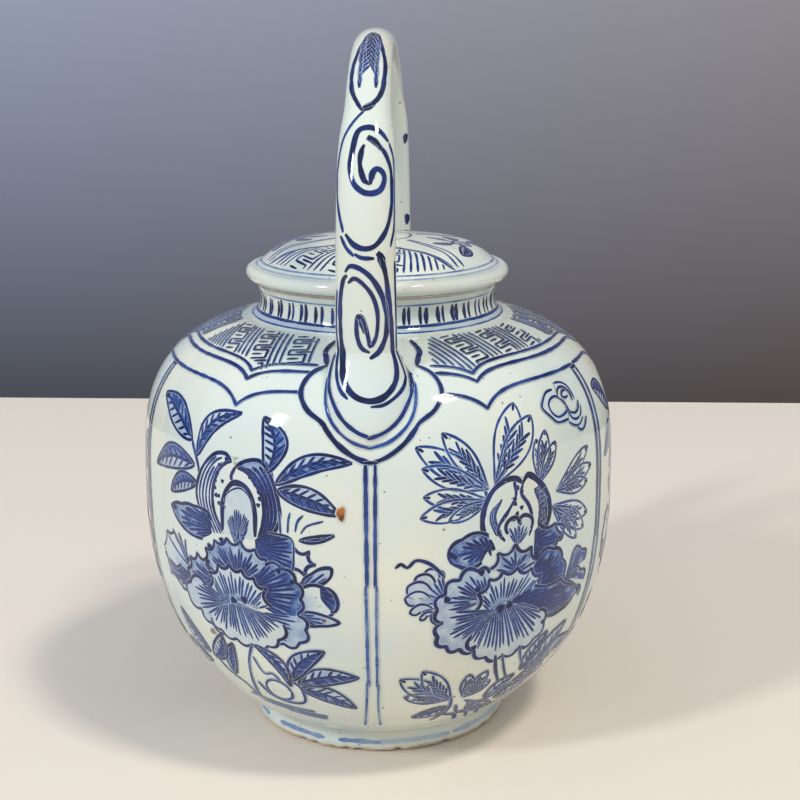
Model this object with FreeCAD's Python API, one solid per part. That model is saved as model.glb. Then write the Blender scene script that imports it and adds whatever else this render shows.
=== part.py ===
import FreeCAD, Part

import math
import os

# A porcelain pot for wine or tea: a six-lobed globe on a turned foot ring, with a
# short waisted neck, a loose lid, a high arched handle over it and a curved spout.
# Millimetres. +Z is up, the origin is on the pot's axis in the plane it stands on,
# the spout points along +Y and the handle stands in the Y-Z plane.

# ---- Driving dimensions ----------------------------------------------------------

# Body
belly_radius = 74.0  # over the middle of a lobe
belly_height = 79.0  # widest level, where the two halves of the body are luted
lower_fullness = 2.4  # exponent of the outline below the belly, 2 is an ellipse
upper_fullness = 3.3  # exponent of the outline above the belly
body_wall = 4.2
floor_thickness = 5.0
lobe_count = 6
crease_depth = 1.2  # how far the crease between two lobes lies in from the lobes

# Foot ring
foot_radius = 40.8
foot_height = 6.8
foot_ring_width = 6.0
foot_bevel = 0.9

# Neck
shoulder_height = 130.6
neck_base_radius = 41.8
neck_waist_radius = 36.6
neck_waist_height = 137.0
neck_top_radius = 38.5
neck_top_height = 141.9
neck_bore_radius = 33.5

# Lid
lid_seat_gap = 0.2  # unglazed lid on unglazed neck rim
lid_rim_radius = 40.7
lid_rim_thickness = 4.2
lid_rim_overhang_round = 2.1  # radius of the rounded outer edge
dome_foot_radius = 37.9
dome_shoulder_radius = 31.2
dome_shoulder_rise = 4.9
dome_rise = 8.7
dome_wall = 3.2
locating_ring_clearance = 0.9
locating_ring_wall = 3.2
locating_ring_depth = 7.4

# Knob
knob_radius = 6.0
knob_stem_radius = 3.1
knob_height = 12.2

# Handle
overall_height = 217.0
handle_half_span = 56.5
handle_spring_height = 150.0
handle_fullness = 2.2
crown_width = 11.4
leg_taper = 3.3  # how much wider a leg grows from the crown to its root
knuckle_step = 2.5  # extra width of the legs below the slim crown
knuckle_height = 190.5
knuckle_softness = 2.0
handle_flatness = 0.74  # thickness across the arch as a share of the width
root_top_height = 131.0
root_width = 27.0
root_inner_reach = 47.0  # where the spread root meets the shoulder nearest the axis
root_outer_reach = 70.8  # and farthest from it
root_bite = 1.2  # how far the root's edge is pressed into the shoulder

# Spout
spout_root_height = 84.0
spout_tip_reach = 103.0
spout_tip_height = 139.0
spout_root_radius = 14.0
spout_tip_radius = 6.2
spout_root_bore = 9.8
spout_tip_bore = 4.2
strainer_hole_radius = 1.7
strainer_circle_radius = 5.2
strainer_hole_count = 6

# How finely the lofted shapes are sampled
AXIS_FLAT = 0.8  # radius of the small flat where a turned curve reaches the axis
BODY_SECTIONS = 22
LEG_SECTIONS = 4
ARCH_SECTIONS = 14
SPOUT_SECTIONS = 9

# ---- Shared geometry -------------------------------------------------------------


def outline_reach(end_radius, end_height, fullness):
    """Semi-height of the superellipse that leaves the belly and passes the given end."""
    share = (1 - (end_radius / belly_radius) ** fullness) ** (1 / fullness)
    return abs(end_height - belly_height) / share


lower_reach = outline_reach(foot_radius, foot_height, lower_fullness)
upper_reach = outline_reach(neck_base_radius, shoulder_height, upper_fullness)


def body_radius(z, inset=0.0):
    """Radius of the body over a lobe at height z, or of its inside when inset is the wall."""
    fullness = lower_fullness if z < belly_height else upper_fullness
    reach = (lower_reach if z < belly_height else upper_reach) - inset
    rise = min(abs(z - belly_height) / reach, 1.0)
    return (belly_radius - inset) * (1 - rise**fullness) ** (1 / fullness)


def shoulder_z(radius, inset=0.0):
    """Height of the shoulder at a distance from the axis."""
    share = (1 - (radius / (belly_radius - inset)) ** upper_fullness) ** (1 / upper_fullness)
    return belly_height + (upper_reach - inset) * share


def spline(points):
    """One smooth curve through points given as (y, z)."""
    curve = Part.BSplineCurve()
    curve.interpolate([FreeCAD.Vector(0, y, z) for y, z in points])
    return curve.toShape()


def lines(points):
    """Straight edges through points given as (y, z)."""
    corners = [FreeCAD.Vector(0, y, z) for y, z in points]
    return [Part.makeLine(a, b) for a, b in zip(corners, corners[1:])]


def arc(start, middle, end):
    """Arc through three points given as (y, z)."""
    return Part.Arc(*[FreeCAD.Vector(0, y, z) for y, z in (start, middle, end)]).toShape()


def turned(edges):
    """Solid of revolution about the pot's axis of a closed outline in the Y-Z plane."""
    face = Part.Face(Part.Wire(Part.__sortEdges__(edges)))
    return face.revolve(FreeCAD.Vector(0, 0, 0), FreeCAD.Vector(0, 0, 1), 360)


def ellipse_wire(centre, width, across, depth):
    """Ellipse with its long axis along X and its short axis along the vector across."""
    side = FreeCAD.Vector(width / 2, 0, 0)
    other = FreeCAD.Vector(across).normalize() * (depth / 2)
    return Part.Wire(Part.Ellipse(centre + side, centre + other, centre).toShape())


def oval_wire(centre, width, across, depth):
    """Closed oval through eight points, which may be wider or deeper than a circle."""
    side = FreeCAD.Vector(width / 2, 0, 0)
    other = FreeCAD.Vector(across).normalize() * (depth / 2)
    turns = [2 * math.pi * i / 8 for i in range(8)]
    curve = Part.BSplineCurve()
    curve.interpolate(
        [centre + side * math.cos(a) + other * math.sin(a) for a in turns], PeriodicFlag=True
    )
    return Part.Wire(curve.toShape())


def circle_wire(centre, direction, radius):
    return Part.Wire(Part.makeCircle(radius, centre, direction))


# ---- Body ------------------------------------------------------------------------


def lobed_section(z):
    """Closed wire of one arc per lobe, meeting in soft creases that fade at both ends."""
    ridge = body_radius(z)
    share = (z - foot_height) / (shoulder_height - foot_height)
    crease = ridge - crease_depth * (1 - (2 * share - 1) ** 6)
    pitch = 2 * math.pi / lobe_count
    edges = []
    for lobe in range(lobe_count):
        start = -math.pi / 2 + lobe * pitch
        ends_and_middle = (
            (crease, start),
            (ridge, start + pitch / 2),
            (crease, start + pitch),
        )
        points = [
            FreeCAD.Vector(r * math.cos(a), r * math.sin(a), z) for r, a in ends_and_middle
        ]
        edges.append(Part.Arc(*points).toShape())
    return Part.Wire(edges)


def body_blank():
    """The lobed globe as one full solid, from the foot ring to the neck."""
    middle = (foot_height + shoulder_height) / 2
    half = (shoulder_height - foot_height) / 2
    heights = [
        middle - half * math.cos(math.pi * i / BODY_SECTIONS) for i in range(BODY_SECTIONS + 1)
    ]
    return Part.makeLoft([lobed_section(z) for z in heights], True, False)


def cavity():
    """The room inside the body and the bore of the neck above it."""
    floor_top = foot_height + floor_thickness
    roof = shoulder_z(neck_bore_radius, body_wall)
    steps = 24
    curve = []
    for i in range(steps + 1):
        z = floor_top + (roof - floor_top) * math.sin(math.pi / 2 * i / steps)
        curve.append((body_radius(z, body_wall), z))
    above = neck_top_height + 10
    straight = lines(
        [(neck_bore_radius, roof), (neck_bore_radius, above), (0, above), (0, floor_top)]
    )
    return turned([spline(curve)] + straight + lines([(0, floor_top), curve[0]]))


def half_space(below, above):
    """Block between two heights that is wider than the pot."""
    side = 4 * belly_radius
    corner = FreeCAD.Vector(-side / 2, -side / 2, below)
    return Part.makeBox(side, side, above - below, corner)


def strainer_holes():
    """Small round holes through the body's wall where the spout leaves it."""
    start, direction = spout_axis(0.0)
    across = FreeCAD.Vector(1, 0, 0)
    up = direction.cross(across).normalize()
    length = 4 * body_wall
    holes = [Part.makeCylinder(strainer_hole_radius, length, start, direction)]
    for i in range(strainer_hole_count):
        turn = 2 * math.pi * i / strainer_hole_count
        offset = (across * math.cos(turn) + up * math.sin(turn)) * strainer_circle_radius
        holes.append(Part.makeCylinder(strainer_hole_radius, length, start + offset, direction))
    return holes


def make_lower_body(blank, room):
    return blank.common(half_space(0, belly_height)).cut(room)


def make_upper_body(blank, room):
    half = blank.common(half_space(belly_height, neck_top_height)).cut(room)
    return half.cut(strainer_holes())


def make_foot_ring():
    inner = foot_radius - foot_ring_width
    outline = lines(
        [
            (inner, foot_height),
            (inner, foot_bevel),
            (inner + foot_bevel, 0),
            (foot_radius - foot_bevel, 0),
            (foot_radius, foot_bevel),
            (foot_radius, foot_height),
            (inner, foot_height),
        ]
    )
    return turned(outline)


def make_neck_collar():
    """Concave ring that springs from the shoulder and spreads again to the lid's seat."""
    flare_middle = (
        neck_waist_radius + 0.22 * (neck_base_radius - neck_waist_radius),
        neck_waist_height - 0.68 * (neck_waist_height - shoulder_height),
    )
    base = (neck_base_radius, shoulder_height)
    waist = (neck_waist_radius, neck_waist_height)
    rim = (neck_top_radius, neck_top_height)
    outline = [spline([base, flare_middle, waist, rim])]
    outline += lines(
        [
            rim,
            (neck_bore_radius, neck_top_height),
            (neck_bore_radius, shoulder_height),
            base,
        ]
    )
    return turned(outline)


# ---- Lid -------------------------------------------------------------------------

seat_height = neck_top_height + lid_seat_gap
rim_top_height = seat_height + lid_rim_thickness
dome_top_height = rim_top_height + dome_rise


def dome_curve(drop):
    """Points of the lid's dome from its foot to the axis, lowered by drop."""
    shoulder = rim_top_height + dome_shoulder_rise
    crown_fall = dome_rise - dome_shoulder_rise
    return [
        (dome_foot_radius - drop * 0.9, rim_top_height - drop * 0.8),
        ((dome_foot_radius + dome_shoulder_radius) / 2 - drop * 0.6, shoulder - 2.5 - drop),
        (dome_shoulder_radius - drop * 0.4, shoulder - drop),
        (dome_shoulder_radius * 0.75, shoulder + crown_fall * 0.55 - drop),
        (dome_shoulder_radius * 0.4, shoulder + crown_fall * 0.86 - drop),
        (AXIS_FLAT, dome_top_height - drop),
    ]


def make_lid_cap():
    """Flat rim with a thick round edge, rising to a low dome that is hollow below."""
    top = dome_curve(0.0)
    locating_inner = neck_bore_radius - locating_ring_clearance - locating_ring_wall
    hollow = [
        (locating_inner, seat_height),
        (locating_inner * 0.93, rim_top_height + dome_shoulder_rise - dome_wall),
        (dome_shoulder_radius * 0.4, dome_top_height - dome_wall * 1.25),
        (AXIS_FLAT, dome_top_height - dome_wall),
    ]
    edge = lid_rim_overhang_round
    middle_height = seat_height + edge
    under = (lid_rim_radius - edge, seat_height)
    over = (lid_rim_radius - edge, rim_top_height)
    outline = [spline(top), spline(hollow)]
    outline += lines([hollow[0], under])
    outline.append(arc(under, (lid_rim_radius, middle_height), over))
    outline += lines([over, top[0]])
    outline += lines([top[-1], (0, top[-1][1]), (0, hollow[-1][1]), hollow[-1]])
    return turned(outline)


def make_lid_locating_ring():
    """Ring under the lid that drops into the neck and keeps the lid in place."""
    outer = neck_bore_radius - locating_ring_clearance
    inner = outer - locating_ring_wall
    bottom = seat_height - locating_ring_depth
    return turned(
        lines(
            [
                (inner, seat_height),
                (inner, bottom),
                (outer - 0.6, bottom),
                (outer, bottom + 0.6),
                (outer, seat_height),
                (inner, seat_height),
            ]
        )
    )


def make_lid_knob(cap):
    """Bud on a short stem, luted to the top of the dome."""
    base = dome_top_height - 1.0
    top = dome_top_height + knob_height
    outline = spline(
        [
            (knob_stem_radius + 1.0, base),
            (knob_stem_radius, dome_top_height + 0.18 * knob_height),
            (knob_radius, dome_top_height + 0.52 * knob_height),
            (knob_radius * 0.55, dome_top_height + 0.87 * knob_height),
            (AXIS_FLAT, top),
        ]
    )
    core = lines([(AXIS_FLAT, top), (0, top), (0, base), (knob_stem_radius + 1.0, base)])
    return turned([outline] + core).cut(cap)


# ---- Handle ----------------------------------------------------------------------

crown_centre_height = overall_height - crown_width * handle_flatness / 2


def arch_point(z):
    """Centre of the handle's leg on the +Y side at height z."""
    if z <= handle_spring_height:
        return FreeCAD.Vector(0, handle_half_span, z)
    rise = (z - handle_spring_height) / (crown_centre_height - handle_spring_height)
    share = max(0.0, 1 - min(rise, 1.0) ** handle_fullness)
    return FreeCAD.Vector(0, handle_half_span * share ** (1 / handle_fullness), z)


def arch_direction(z):
    """Unit tangent of the leg at height z, pointing towards the crown."""
    step = min(0.01, (crown_centre_height - z) / 2)
    if step <= 0:
        return FreeCAD.Vector(0, -1, 0)
    return (arch_point(z + step) - arch_point(z - step)).normalize()


def leg_width(z):
    """Width of the handle along X: a taper to the crown, with a soft step at the knuckle."""
    left = (crown_centre_height - z) / (crown_centre_height - root_top_height)
    step = knuckle_step / (1 + math.exp((z - knuckle_height) / knuckle_softness))
    return crown_width + leg_taper * math.sqrt(max(left, 0.0)) + step


def make_handle_arch():
    """Hoop of oval section, slim at the crown, that ends flat on the two roots."""
    straight = handle_spring_height - root_top_height
    curved = crown_centre_height - handle_spring_height
    heights = [root_top_height + straight * i / LEG_SECTIONS for i in range(LEG_SECTIONS)]
    for i in range(ARCH_SECTIONS + 1):
        heights.append(handle_spring_height + curved * math.sin(math.pi / 2 * i / ARCH_SECTIONS))
    leg = []
    for z in heights:
        across = arch_direction(z).cross(FreeCAD.Vector(1, 0, 0))
        leg.append((arch_point(z), leg_width(z), across))
    wires = []
    for centre, width, across in leg:
        wires.append(ellipse_wire(centre, width, across, width * handle_flatness))
    for centre, width, across in reversed(leg[:-1]):
        far_centre = FreeCAD.Vector(0, -centre.y, centre.z)
        far_across = FreeCAD.Vector(0, across.y, -across.z)
        wires.append(ellipse_wire(far_centre, width, far_across, width * handle_flatness))
    return Part.makeLoft(wires, True, False)


def make_handle_root(side, blank):
    """Spreading foot of a leg, shaped to the shoulder. side is +1 at the spout, -1 behind."""
    top_width = leg_width(root_top_height)
    top_depth = top_width * handle_flatness
    inner_z = shoulder_z(root_inner_reach) - root_bite
    outer_z = shoulder_z(root_outer_reach) - root_bite
    slope = math.atan2(inner_z - outer_z, root_outer_reach - root_inner_reach)
    foot_depth = math.hypot(inner_z - outer_z, root_outer_reach - root_inner_reach)
    top = FreeCAD.Vector(0, handle_half_span, root_top_height)
    foot = FreeCAD.Vector(
        0, (root_inner_reach + root_outer_reach) / 2, (inner_z + outer_z) / 2
    )
    sunk = FreeCAD.Vector(0, -math.sin(slope), -math.cos(slope)) * body_wall
    # share of the way down, share of the tilt to the shoulder's slope, share of the spread
    stages = ((0.0, 0.0, 0.0), (0.2, 0.12, 0.08), (0.45, 0.42, 0.34), (0.75, 0.8, 0.8), (1, 1, 1))
    wires = []
    for down, tilt, spread in stages:
        centre = top + (foot - top) * down
        across = FreeCAD.Vector(0, math.cos(slope * tilt), -math.sin(slope * tilt))
        width = top_width + (root_width - top_width) * spread**0.6
        depth = top_depth + (foot_depth - top_depth) * spread
        wires.append(oval_wire(centre, width, across, depth))
    wires.append(oval_wire(foot + sunk, root_width, across, foot_depth))
    root = Part.makeLoft(wires, True, False)
    if side < 0:
        root = root.mirror(FreeCAD.Vector(0, 0, 0), FreeCAD.Vector(0, 1, 0))
    return root.cut(blank)


# ---- Spout -----------------------------------------------------------------------


def spout_points():
    """The spout's centre line: out of the belly, up, and outwards again at the lip."""
    root = body_radius(spout_root_height) - 2 * body_wall
    reach = spout_tip_reach - root
    rise = spout_tip_height - spout_root_height
    return [
        (root, spout_root_height),
        (root + 0.32 * reach, spout_root_height + 0.17 * rise),
        (root + 0.62 * reach, spout_root_height + 0.42 * rise),
        (root + 0.82 * reach, spout_root_height + 0.72 * rise),
        (spout_tip_reach, spout_tip_height),
    ]


def spout_axis(share):
    """Point and direction on the spout's centre line, from 0 at the root to 1 at the tip."""
    curve = Part.BSplineCurve()
    curve.interpolate([FreeCAD.Vector(0, y, z) for y, z in spout_points()])
    place = curve.FirstParameter + share * (curve.LastParameter - curve.FirstParameter)
    return curve.value(place), FreeCAD.Vector(*curve.tangent(place)[0])


def spout_loft(root_radius, tip_radius, beyond):
    """Tapered tube about the centre line, run past both ends by a length."""
    wires = []
    for i in range(SPOUT_SECTIONS):
        share = i / (SPOUT_SECTIONS - 1)
        centre, direction = spout_axis(share)
        radius = tip_radius + (root_radius - tip_radius) * (1 - share) ** 1.25
        wires.append(circle_wire(centre, direction, radius))
        if i == SPOUT_SECTIONS - 1 and beyond:
            wires.append(circle_wire(centre + direction * beyond, direction, radius))
    return Part.makeLoft(wires, True, False)


def make_spout(blank):
    outer = spout_loft(spout_root_radius, spout_tip_radius, 0)
    bore = spout_loft(spout_root_bore, spout_tip_bore, 2.0)
    return outer.cut(bore).cut(blank)


# ---- Build -----------------------------------------------------------------------


def main():
    blank = body_blank()
    room = cavity()
    cap = make_lid_cap()
    parts = {
        "lower_body": make_lower_body(blank, room),
        "upper_body": make_upper_body(blank, room),
        "foot_ring": make_foot_ring(),
        "neck_collar": make_neck_collar(),
        "spout": make_spout(blank),
        "handle_arch": make_handle_arch(),
        "handle_root_front": make_handle_root(1, blank),
        "handle_root_rear": make_handle_root(-1, blank),
        "lid_cap": cap,
        "lid_locating_ring": make_lid_locating_ring(),
        "lid_knob": make_lid_knob(cap),
    }
    os.makedirs("parts", exist_ok=True)
    for name, shape in parts.items():
        solids = shape.Solids
        if len(solids) != 1 or not solids[0].isValid():
            raise ValueError(f"{name} has {len(solids)} solids, or one that is not valid")
        solids[0].exportStep(f"parts/{name}.step")
        box = solids[0].BoundBox
        print(f"{name}: {solids[0].Volume:.0f} mm3, z {box.ZMin:.2f} to {box.ZMax:.2f}")


main()
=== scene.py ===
import math
import random
from bisect import bisect_left

import bpy
from mathutils import Matrix, Vector, noise
from mathutils.bvhtree import BVHTree
from mathutils.geometry import normal as face_normal
from mathutils.interpolate import poly_3d_calc


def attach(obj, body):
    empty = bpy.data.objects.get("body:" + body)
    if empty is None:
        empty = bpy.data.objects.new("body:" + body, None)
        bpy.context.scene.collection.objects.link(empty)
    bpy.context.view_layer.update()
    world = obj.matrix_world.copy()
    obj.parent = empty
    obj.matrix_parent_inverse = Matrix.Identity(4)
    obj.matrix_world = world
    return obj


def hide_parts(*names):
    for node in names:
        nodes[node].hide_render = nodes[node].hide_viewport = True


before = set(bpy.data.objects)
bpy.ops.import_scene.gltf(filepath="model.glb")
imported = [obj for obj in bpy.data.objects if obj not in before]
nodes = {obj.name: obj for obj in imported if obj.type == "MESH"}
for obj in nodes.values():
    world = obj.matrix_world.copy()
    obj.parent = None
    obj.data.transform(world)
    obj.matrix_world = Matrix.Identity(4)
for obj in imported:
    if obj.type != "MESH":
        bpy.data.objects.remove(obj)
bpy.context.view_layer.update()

# A six-lobed blue-and-white porcelain pot under a clear glaze. The glazed pieces are
# the CAD nodes themselves, and the brushwork lies on them as thin strokes and washes.
# Drawing sizes are millimetres; x runs to the right and y up the pot's outline.

MM = 0.001
UP = Vector((0, 0, 1))

# ---- The pot's outline, as the CAD has it ------------------------------------------

BELLY_RADIUS, BELLY_HEIGHT = 74.0, 79.0
FOOT_RADIUS, FOOT_HEIGHT = 40.8, 6.8
FOOT_INNER_RADIUS = 34.8
SHOULDER_RADIUS, SHOULDER_HEIGHT = 41.8, 130.6
LOWER_FULLNESS, UPPER_FULLNESS = 2.4, 3.3
HANDLE_HALF_SPAN, HANDLE_SPRING = 56.5, 150.0
HANDLE_CROWN, HANDLE_FULLNESS = 212.8, 2.2
HANDLE_HALF_WIDTH, HANDLE_FLATNESS = 7.4, 0.74
SPOUT_ROOT, SPOUT_TIP = (65.5, 84.0), (103.0, 139.0)
NECK_RADIUS = 37.0
ROOT_TOP = 131.0
PANEL_TURN = math.radians(60)
PAINT_TURN = math.radians(1.4)  # the painter's panels sit a little off the creases
# Azimuths of the painted uprights between panels; the panels at the sides are narrower
BOUNDARIES = [math.radians(turn) for turn in (0, 66.5, 113.5, 180, 246.5, 289)]


def outline_radius(z):
    """Radius of the body over a lobe at height z."""
    lower = z < BELLY_HEIGHT
    fullness = LOWER_FULLNESS if lower else UPPER_FULLNESS
    end_radius = FOOT_RADIUS if lower else SHOULDER_RADIUS
    end_height = FOOT_HEIGHT if lower else SHOULDER_HEIGHT
    share = (1 - (end_radius / BELLY_RADIUS) ** fullness) ** (1 / fullness)
    rise = abs(z - BELLY_HEIGHT) * share / abs(end_height - BELLY_HEIGHT)
    return BELLY_RADIUS * (1 - min(rise, 1.0) ** fullness) ** (1 / fullness)


class Track:
    """A line of points in a plane, looked up by the length along it."""

    def __init__(self, points):
        self.points = points
        self.lengths = [0.0]
        for (a, b), (c, d) in zip(points, points[1:]):
            self.lengths.append(self.lengths[-1] + math.hypot(c - a, d - b))

    def at(self, length):
        """Point at that length, and the unit normal on the right of the way on."""
        i = min(max(bisect_left(self.lengths, length), 1), len(self.points) - 1)
        (a, b), (c, d) = self.points[i - 1], self.points[i]
        span = self.lengths[i] - self.lengths[i - 1]
        share = (length - self.lengths[i - 1]) / span
        place = (a + (c - a) * share, b + (d - b) * share)
        return place, ((d - b) / span, -(c - a) / span)


OUTLINE_STEPS = 240
shares = [i / OUTLINE_STEPS for i in range(OUTLINE_STEPS + 1)]
levels = [FOOT_HEIGHT + (SHOULDER_HEIGHT - FOOT_HEIGHT) * share for share in shares]
body_track = Track([(outline_radius(z), z) for z in levels])


def handle_reach(z):
    """Distance of the handle's centre line from the axis at height z."""
    rise = max(0.0, (z - HANDLE_SPRING) / (HANDLE_CROWN - HANDLE_SPRING))
    return HANDLE_HALF_SPAN * max(0.0, 1 - rise**HANDLE_FULLNESS) ** (1 / HANDLE_FULLNESS)


def handle_points():
    """The handle's centre line, from the near leg over the crown to the far one."""
    near = [(-HANDLE_HALF_SPAN, ROOT_TOP - 40), (-HANDLE_HALF_SPAN, ROOT_TOP)]
    for share in shares:
        z = HANDLE_SPRING + (HANDLE_CROWN - HANDLE_SPRING) * math.sin(math.pi / 2 * share)
        near.append((-handle_reach(z), z))
    return near + [(-y, z) for y, z in reversed(near[:-1])]


handle_track = Track(handle_points())
HANDLE_LENGTH = handle_track.lengths[-1]


def leg(z):
    """Length along the handle at which its outer face on the near leg reaches height z."""
    low, high = 0.0, HANDLE_LENGTH / 2
    for _ in range(30):
        middle = (low + high) / 2
        (_, height), (_, lift) = handle_track.at(middle)
        outer = height - lift * HANDLE_HALF_WIDTH * HANDLE_FLATNESS
        low, high = (middle, high) if outer < z else (low, middle)
    return low


# ---- Glazed surfaces to paint on -----------------------------------------------------

RAY_LENGTH = 30.0  # short enough to stop at a hole and not to cross the pot
# How far from the drawn surface the rays start, and the height they start at over the lid
PANEL_START, RING_START, HANDLE_START, SPOUT_START, LID_START = 6.0, 15.0, 7.0, 25.0, 172.0


class Skin:
    """The surface of some pieces, which finds where a ray meets them."""

    def __init__(self, *pieces):
        self.points, self.faces, self.corners = [], [], []
        for mesh in (piece.data for piece in pieces):
            base = len(self.points)
            self.points += [v.co / MM for v in mesh.vertices]
            normals = [c.vector.copy() for c in mesh.corner_normals]
            for face in mesh.polygons:
                self.faces.append([base + i for i in face.vertices])
                self.corners.append([normals[i] for i in face.loop_indices])
        self.tree = BVHTree.FromPolygons(self.points, self.faces)

    def drop(self, start, toward):
        """Where the ray lands and the smooth normal there, or None past an edge."""
        place, _, index, _ = self.tree.ray_cast(start, toward, RAY_LENGTH)
        if place is None:
            return None
        weights = poly_3d_calc([self.points[i] for i in self.faces[index]], place)
        normal = Vector()
        for corner, weight in zip(self.corners[index], weights):
            normal += corner * weight
        return place, normal.normalized()


def panel_aim(azimuth, spread=1.0):
    """Rays onto the body for a drawing centred on an azimuth, squeezed across by spread."""

    def aim(x, y):
        (radius, z), (outward, upward) = body_track.at(y)
        turn = azimuth + spread * x / radius
        around = Vector((math.sin(turn), -math.cos(turn), 0))
        normal = around * outward + UP * upward
        return around * radius + UP * z + normal * PANEL_START, -normal

    return aim


def ring_aim(radius):
    """Rays inwards onto an upright ring; x runs round it and y is the height."""

    def aim(x, y):
        turn = x / radius
        around = Vector((math.sin(turn), -math.cos(turn), 0))
        return around * (radius + RING_START) + UP * y, -around

    return aim


LID_DRAWING = 30.0  # radius at which x is a true length in the lid's drawing


def lid_aim(azimuth):
    """Rays down onto the lid; x runs round from the azimuth and y is the radius."""

    def aim(x, y):
        turn = azimuth + x / LID_DRAWING
        return Vector((math.sin(turn), -math.cos(turn), 0)) * y + UP * LID_START, -UP

    return aim


HANDLE_FACE = 0.95  # share of the half width that is drawn as it is seen from outside
HANDLE_WRAP = 1.6  # how fast a drawing beyond it goes round the handle's side


def handle_aim(x, y):
    """Rays onto the handle; x is seen from outside and y runs along it."""
    (reach, z), (out, lift) = handle_track.at(y)
    outward = Vector((0, -out, -lift))
    share = x / HANDLE_HALF_WIDTH
    if abs(share) < HANDLE_FACE:
        turn = math.asin(share)
    else:
        beyond = (abs(share) - HANDLE_FACE) * HANDLE_WRAP
        turn = math.copysign(math.asin(HANDLE_FACE) + beyond, share)
    normal = Vector((math.sin(turn), 0, 0)) + outward * math.cos(turn) / HANDLE_FLATNESS
    normal.normalize()
    hit = Vector((math.sin(turn), 0, 0)) + outward * HANDLE_FLATNESS * math.cos(turn)
    return Vector((0, reach, z)) + hit * HANDLE_HALF_WIDTH + normal * HANDLE_START, -normal


SPOUT_DRAWING = 9.0  # radius at which x is a true length in the spout's drawing
SPOUT_CURVE = ((0, 0), (0.17, 0.07), (0.32, 0.17), (0.62, 0.42), (0.82, 0.72), (1, 1))
spout_track = Track(
    [
        tuple(low + (high - low) * share for low, high, share in zip(SPOUT_ROOT, SPOUT_TIP, pair))
        for pair in SPOUT_CURVE
    ]
)


def spout_aim(x, y):
    """Rays onto the spout; x runs round it from its outer side and y along it."""
    (reach, z), (out, lift) = spout_track.at(y)
    turn = x / SPOUT_DRAWING
    away = Vector((math.sin(turn), out * math.cos(turn), lift * math.cos(turn)))
    return Vector((0, reach, z)) + away * SPOUT_START, -away


# ---- Lines -------------------------------------------------------------------------

STEP, WASH_STEP = 0.5, 0.7  # length of one piece of a drawn line and of a wash


def evenly(path, count):
    """The same path as count points at even distances."""
    lengths = [0.0]
    for a, b in zip(path, path[1:]):
        lengths.append(lengths[-1] + math.dist(a, b))
    result = []
    for i in range(count):
        goal = lengths[-1] * i / max(count - 1, 1)
        k = min(max(bisect_left(lengths, goal), 1), len(path) - 1)
        share = (goal - lengths[k - 1]) / max(lengths[k] - lengths[k - 1], 1e-9)
        (a, b), (c, d) = path[k - 1], path[k]
        result.append((a + (c - a) * share, b + (d - b) * share))
    return result


def smooth(t, p, q, r, s):
    """Value a share t of the way from q to r, on a smooth line through p, q, r and s."""
    bend = 2 * p - 5 * q + 4 * r - s
    twist = 3 * q - p - 3 * r + s
    return 0.5 * (2 * q + (r - p) * t + bend * t**2 + twist * t**3)


def curve(points):
    """Smooth line through points."""
    if len(points) == 2:
        return list(points)
    first = tuple(2 * a - b for a, b in zip(points[0], points[1]))
    last = tuple(2 * a - b for a, b in zip(points[-1], points[-2]))
    if math.dist(points[0], points[-1]) < 1e-6:
        first, last = points[-2], points[1]
    row = [first, *points, last]
    path = []
    for spots in zip(row, row[1:], row[2:], row[3:]):
        for t in (i / 8 for i in range(8)):
            path.append(tuple(smooth(t, *values) for values in zip(*spots)))
    return path + [points[-1]]


def scallops(cusps, bulge):
    """Arcs from cusp to cusp, each bulging to the left by a share of its length."""
    path = []
    for (a, b), (c, d) in zip(cusps, cusps[1:]):
        for i in range(8):
            t = i / 8
            rise = bulge * math.sin(math.pi * t) ** 0.8
            path.append((a + (c - a) * t - (d - b) * rise, b + (d - b) * t + (c - a) * rise))
    return path + [cusps[-1]]


def between(a, b, share):
    return tuple(p + (q - p) * share for p, q in zip(a, b))


def path_length(path):
    return sum(math.dist(a, b) for a, b in zip(path, path[1:]))


def mirrored(points, side):
    """Points as they are for side 1, and the other way round for side -1."""
    return [(x * side, y) for x, y in points]


def ring_line(radius, height, count):
    """A line all round a ring, at one height."""
    around = 2 * math.pi * radius
    return [(around * k / count, height) for k in range(count + 1)]


# ---- Brushwork -----------------------------------------------------------------------

EDGE = 0.1  # half the width over which a stroke's edge bleeds into the glaze
# How far the layers of paint lie above the glaze and above each other
FIRST_LIFT, STROKE_LIFT, WASH_LIFT, SPOT_LIFT = 0.02, 0.0001, 0.002, 0.008
BRUSH = 1.25  # how much the wet ink spreads beyond the width of the stroke
FINEST = 0.14  # half the width of the finest stroke
SHORTEST, FEWEST = 0.3, 3  # strokes shorter or of fewer points than this are left out
NEARBY = 2.0  # how far above a stroke the rays for its edges start
UNSTEADY = 0.32  # how unevenly the brush width follows the hand
GRAIN = 0.5  # how cloudy a wash is
SCALLOPED = 1.5  # how deep the petals' scallops are
HATCHING = 1.25  # how closely the petals are hatched


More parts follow.
